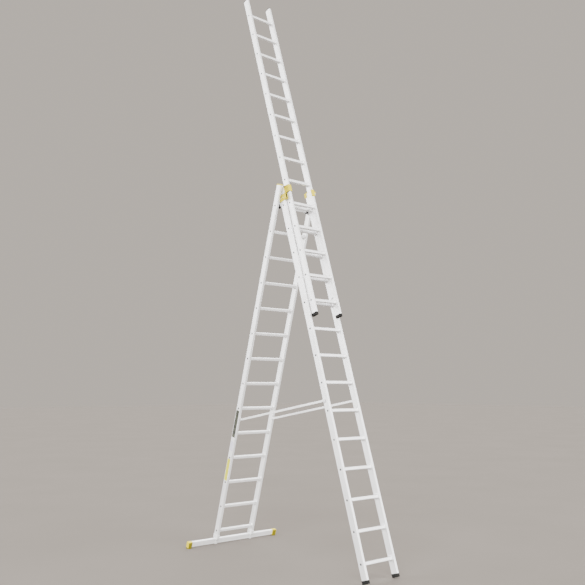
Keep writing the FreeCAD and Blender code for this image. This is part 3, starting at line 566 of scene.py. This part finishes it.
# ------------------------------------------------------------------ hinge
def claw():
    """Cast hook over the hinge bush: two half circles joined by straight legs, an arm and a pad."""
    margin, soft = 0.0025, 0.0015
    width = (middle_inner + margin, middle_outer - margin)
    centre, hole, shell, leg = (fold_back, fold_rise), 0.0223, 0.0298, 0.015
    foot = fold_rise - leg
    outer_arc = arc(centre, shell, 0, 180, 33)
    inner_arc = arc(centre, hole, 180, 0, 33)
    feet_front = np.array([(fold_back - shell, foot), (fold_back - hole, foot)])
    feet_rear = np.array([(fold_back + hole, foot), (fold_back + shell, foot)])
    hook = freeform(np.concatenate([outer_arc, feet_front, inner_arc, feet_rear]))
    arm_end, arm_top = 0.060, 0.0519
    arm = rectangle(half_depth, arm_end, foot, arm_top, 0.002)
    pad_face, pad_low, pad_high = half_depth + 0.005, -0.012, 0.096
    pad = rectangle(half_depth, pad_face, pad_low, pad_high, soft)
    return [prism(hook, *width, soft, axis=0), prism(arm, *width, soft, axis=0),
            prism(pad, *width, 0.0012, axis=0)]


def bush():
    """Flanged round bush on the rear section's uppermost rung."""
    low, high = middle_inner + 0.00225, middle_outer - 0.00225
    flange, barrel, rim, soft = 0.0018, 0.0220, 0.0260, 0.0005
    profile = [(rung_half, low - flange), (rim - soft, low - flange), (rim, low - flange + soft),
               (rim, low - soft), (rim - soft, low), (barrel, low), (barrel, high), (rim - soft, high),
               (rim, high + soft), (rim, high + flange - soft), (rim - soft, high + flange),
               (rung_half, high + flange)]
    return on_both_sides([turned(profile, (0, 0, 0), count=48)])


pair("hinge_hook", claw(), middle, cast_finish, "hinge_claw")
piece("hinge_bush_rings", bush(), rear, plastic_finish, ["hinge_bushes"])


# ------------------------------------------------------------------ spreader bars
def stud_place():
    """Stud on the middle section that the bars hook over."""
    stud_back, stud_drop = 0.018, 7.63 * rung_pitch
    return leant(np.array([0, stud_back, -stud_drop]), front_lean, middle_origin)


def hook_opening(stud, pivot, lean):
    """Angle, in the bar's own plane, at which the stud leaves the hook when the ladder starts to fold:
    the stud is turned a little about the fold axis, and that is seen from the bar as it swings."""
    start = math.radians(1)
    swing = math.radians(joints["right_bar_swing"]["range_deg"][0])
    ratio = swing / math.radians(joints["fold"]["range_deg"][1])
    folded = leant(stud - fold_axis, -start) + fold_axis
    seen = leant(folded - pivot, start * ratio) - (stud - pivot)
    way = leant(seen, -lean)
    return math.degrees(math.atan2(way[2], way[1])) % 360


def spreader_bar(length, opening):
    """Flat bar in the Y-Z plane: a round eye, two straight edges, and a round hook with a slot. Each
    arc ends where its circle meets the next line, at an angle of asin(half width / radius)."""
    inner, outer = 0.213, 0.217
    half, eye, hook, slot = 0.0105, 0.013, 0.018, 0.0059
    tip = (0.0, length)
    eye_turn, hook_turn, mouth = np.degrees(np.arcsin([half / eye, half / hook, slot / hook]))
    points = np.concatenate([
        arc((0, 0), eye, 90 + eye_turn, 450 - eye_turn, 30),
        arc(tip, hook, -90 + hook_turn, opening - mouth, 20),
        arc(tip, slot, opening - 90, opening - 270, 18),
        arc(tip, hook, opening + mouth, 270 - hook_turn, 20)])
    return [prism(freeform(points), inner, outer, 0.0007, axis=0)]


stud = stud_place()
pivot = np.array([0, bar_pivot[1], bar_pivot[2]])
reach = stud - pivot
bar_lean = math.atan2(reach[1], reach[2])
bar_skins = spreader_bar(float(np.hypot(reach[1], reach[2])), hook_opening(stud, pivot, bar_lean))
for side, skins in (("right", bar_skins), ("left", mirrored(bar_skins))):
    bar_place = {"body": "spreader_bar_" + side, "lean": bar_lean, "origin": pivot}
    piece("hooked_bar_" + side, skins, bar_place, zinc_finish, ["spreader_bar_" + side])


# ------------------------------------------------------------------ rung locks
def rung_lock():
    """Plate hook with a round boss, and a thumb tab bent inwards. Y runs back from the top section's
    plane, and Z up from its lowest rung."""
    inner, outer = 0.1457, 0.1507
    plate = [(0.0853, -0.008), (0.0973, -0.008), (0.0973, 0.0433), (0.070, 0.0433), (0.070, 0.060),
             (0.025, 0.060), (0.025, 0.047), (0.043, 0.047), (0.043, 0.0153), (0.0853, 0.0153)]
    radii = [0.003, 0.003, 0.004, 0.002, 0.003, 0.001, 0.001, 0.002, 0.003, 0.001]
    points = np.array(plate) + (0, lowest_rung)
    boss_place, boss, soft = (0, 0.025, lowest_rung + 0.060), 0.013, 0.0008
    boss_skin = turned([(boss - soft, inner), (boss, inner + soft), (boss, outer - soft),
                        (boss - soft, outer)], boss_place, count=36)
    tab_width, tab_round = 0.014, 0.0015
    tab = block((inner - tab_width, inner + 0.001), (0.070, 0.082),
                (lowest_rung + 0.0383, lowest_rung + 0.0433), tab_round, tab_round, axis=0)
    return [prism(outline(points, radii), inner, outer, soft, axis=0), boss_skin, tab]


for side, skins in (("right", rung_lock()), ("left", mirrored(rung_lock()))):
    lock_place = {"body": "lock_" + side, "lean": front_lean, "origin": top["origin"]}
    piece("lock_hook_" + side, skins, lock_place, zinc_finish, ["rung_lock_" + side])


# ------------------------------------------------------------------ stabiliser
bar_top, bar_low = lowest_rear, lowest_rear - 0.055
bar_half, bar_deep, bar_corner = 0.602, 0.015, 0.003
cap_wall, cap_rim, cap_length, brow_height = 0.004, 0.005, 0.050, 0.008
cap_face = bar_deep + cap_wall
cap_front = -cap_face - cap_rim
cap_top, cap_low = bar_top + cap_wall, bar_low - cap_wall


def crossbar():
    """Crossbar tube with two shallow rib lines along its front and back."""
    rib = 0.012
    points = []
    for y, run, start, end in ((-bar_deep, -1, bar_top, bar_low), (bar_deep, 1, bar_low, bar_top)):
        points.append((y, start))
        inside, half = y - run * rib_depth, run * rib_width / 2
        for z in (start + run * rib, end - run * rib):
            points += [(y, z - half), (inside, z - half), (inside, z + half), (y, z + half)]
        points.append((y, end))
    radii = ([bar_corner] + [rib_depth / 3] * 8 + [bar_corner]) * 2
    reach_x = bar_half - cap_wall
    return [prism(outline(points, radii), -reach_x, reach_x, cut_edge, axis=0)]


def saddle():
    """Cast saddle: its side view swells round the stile's end, narrows and grips the crossbar."""
    wall, rim, shoulder, heel = 0.003, 0.004, 0.016, 0.007
    wide, slim, floor = half_depth + wall, cap_face, bar_low - 0.008
    rise, taper = lowest_rear + 0.045, lowest_rear - 0.026
    side = [(-wide, rise), (-wide, lowest_rear), (-slim, taper), (-slim, floor),
            (slim, floor), (slim, taper), (wide, lowest_rear), (wide, rise)]
    radii = [rim, shoulder, shoulder, heel, heel, shoulder, shoulder, rim]
    view = outline(side, radii, steps=9)
    return [prism(view, rear_inner - wall, rear_outer + wall, 0.0028, axis=0)]


def crossbar_cap():
    """Moulded end cap: sleeve, brow over the pad's front, and cheek at the outer end."""
    along = (bar_half - cap_length, bar_half)
    sleeve = block(along, (-cap_face, cap_face), (cap_low, cap_top), 0.008, 0.0024, axis=0)
    brow = block(along, (cap_front, -bar_deep), (cap_top - brow_height, cap_top), 0.0035, 0.0030, axis=0)
    cheek = block((bar_half - cap_rim, bar_half), (cap_front, -bar_deep), (cap_low, cap_top),
                  0.0040, 0.0022, axis=0)
    return [sleeve, brow, cheek]


def crossbar_pad():
    """Rubber pad under and in front of the cap. Its side view ends on the floor, which in the rear
    section's frame is the line z = -(height of the fold axis) / cos(lean) - y tan(lean)."""
    brow_low = cap_top - brow_height
    middle_ground = -fold_axis[2] / math.cos(rear_lean)
    front_ground = middle_ground - cap_front * math.tan(rear_lean)
    back_ground = middle_ground - cap_face * math.tan(rear_lean)
    view = [(cap_front, brow_low), (cap_front, front_ground), (cap_face, back_ground),
            (cap_face, cap_low), (-cap_face, cap_low), (-cap_face, brow_low)]
    soft, edge = 0.001, 0.0008
    path = outline(view, [soft, edge, edge, edge, 0.0005, soft], steps=3)
    return [prism(path, bar_half - cap_length + cap_rim, bar_half - cap_rim, edge, axis=0)]


piece("stabiliser_crossbar", crossbar(), rear, rung_finish, ["stabiliser_bar"])
pair("stabiliser_casting", saddle(), rear, cast_finish, "stabiliser_saddle")
pair("stabiliser_cap_moulding", crossbar_cap(), rear, yellow_finish,
     "stabiliser_end_cap")
# the pad's olive colour is painted shade of the yellow cap's front
pair("stabiliser_sole", crossbar_pad(), rear, painted_shade_olive_finish, "stabiliser_pad")


# ------------------------------------------------------------------ plain patches on the left rear stile
def add_patch(name, low, high, front, back, coat):
    """Thin vinyl patch on the left rear stile's outer face, between heights and depths."""
    sunk, proud, corner = 0.0002, 0.0004, 0.002
    film = block((rear_outer - sunk, rear_outer + proud), (front, back), (low, high), corner, sunk, axis=0)
    piece(name, mirrored([film]), rear, coat, [])


add_patch("dark_patch", -2.567, -2.262, -0.024, 0.028, dark_label)
add_patch("grey_patch", -2.720, -2.610, -0.024, 0.028, grey_label)
add_patch("yellow_patch", -3.060, -2.815, -0.020, 0.028, yellow_label)


# ------------------------------------------------------------------ fastenings that keep their CAD shapes
slot_finish = {"zinc_steel": zinc_finish, "cast_aluminium": cast_finish, "dark_bolt_steel": bolt_finish,
               "aluminium_extrusion": rung_finish, "yellow_plastic": yellow_finish,
               "black_rubber": rubber_finish, "black_plastic": plastic_finish,
               "olive_rubber": painted_shade_olive_finish}
node_slots = {s["node"]: s["material_slot"] for s in frame["record"]["subparts"]}
for name, node in frame["nodes"].items():
    node.data.materials.clear()
    node.data.materials.append(slot_finish[node_slots[name]])


# ------------------------------------------------------------------ floor, light and camera
def add_floor():
    """Wide pale floor, a flat grid of four quads just under the feet."""
    half, drop = 60.0, 0.0008
    u, v = np.meshgrid(np.linspace(-half, half, 3), np.linspace(-half, half, 3))
    points = np.stack([u, v, np.full_like(u, -drop)], -1).reshape(-1, 3)
    quads = np.array([0, 1, 3, 4])[:, None] + np.array([0, 1, 4, 3])
    mesh = bpy.data.meshes.new("floor")
    mesh.from_pydata(points.tolist(), [], quads.tolist())
    floor = bpy.data.objects.new("floor", mesh)
    bpy.context.scene.collection.objects.link(floor)
    mesh.materials.append(finish(
        "pale_floor", grain=(1.5,) * 3, colours=((0.205, 0.186, 0.167), (0.218, 0.197, 0.177)),
        roughness=(0.80, 0.90), bump=(0.05, 0.0005), fine=300.0, gloss=0.0))


def add_softbox(name, azimuth, elevation, strength):
    """Distant light as broad as a softbox, its place given by two angles round the ladder."""
    data = bpy.data.lights.new(name, "SUN")
    data.angle = math.radians(50)
    data.energy = strength
    light = bpy.data.objects.new(name, data)
    bpy.context.scene.collection.objects.link(light)
    light.rotation_euler = (math.radians(90 - elevation), 0, math.radians(azimuth))


def add_world():
    """Pale studio air all round."""
    world = bpy.data.worlds.new("studio")
    bpy.context.scene.world = world
    world.use_nodes = True
    air = world.node_tree.nodes["Background"]
    air.inputs["Color"].default_value = (0.62, 0.56, 0.50, 1)
    air.inputs["Strength"].default_value = 1.0


def add_camera():
    """Camera at a standing person's eye height, to the left of the ladder's front, looking up a little."""
    left, in_front, eye_height = 5.034, 6.020, 1.717
    tilt, turn = math.radians(7.656), math.radians(39.87)
    data = bpy.data.cameras.new("eye")
    camera = bpy.data.objects.new("eye", data)
    bpy.context.scene.collection.objects.link(camera)
    bpy.context.scene.camera = camera
    data.sensor_width = 36.0
    data.lens = 45.47
    data.shift_y = -0.0059
    camera.location = (-left, fold_axis[1] - in_front, eye_height)
    camera.rotation_euler = (math.pi / 2 + tilt, 0, -turn)


add_floor()
add_world()
add_softbox("key", azimuth=-50, elevation=30, strength=6.2)
add_softbox("side", azimuth=-125, elevation=15, strength=4.0)
add_softbox("fill", azimuth=25, elevation=20, strength=4.5)
add_softbox("back", azimuth=130, elevation=30, strength=3.5)
add_camera()
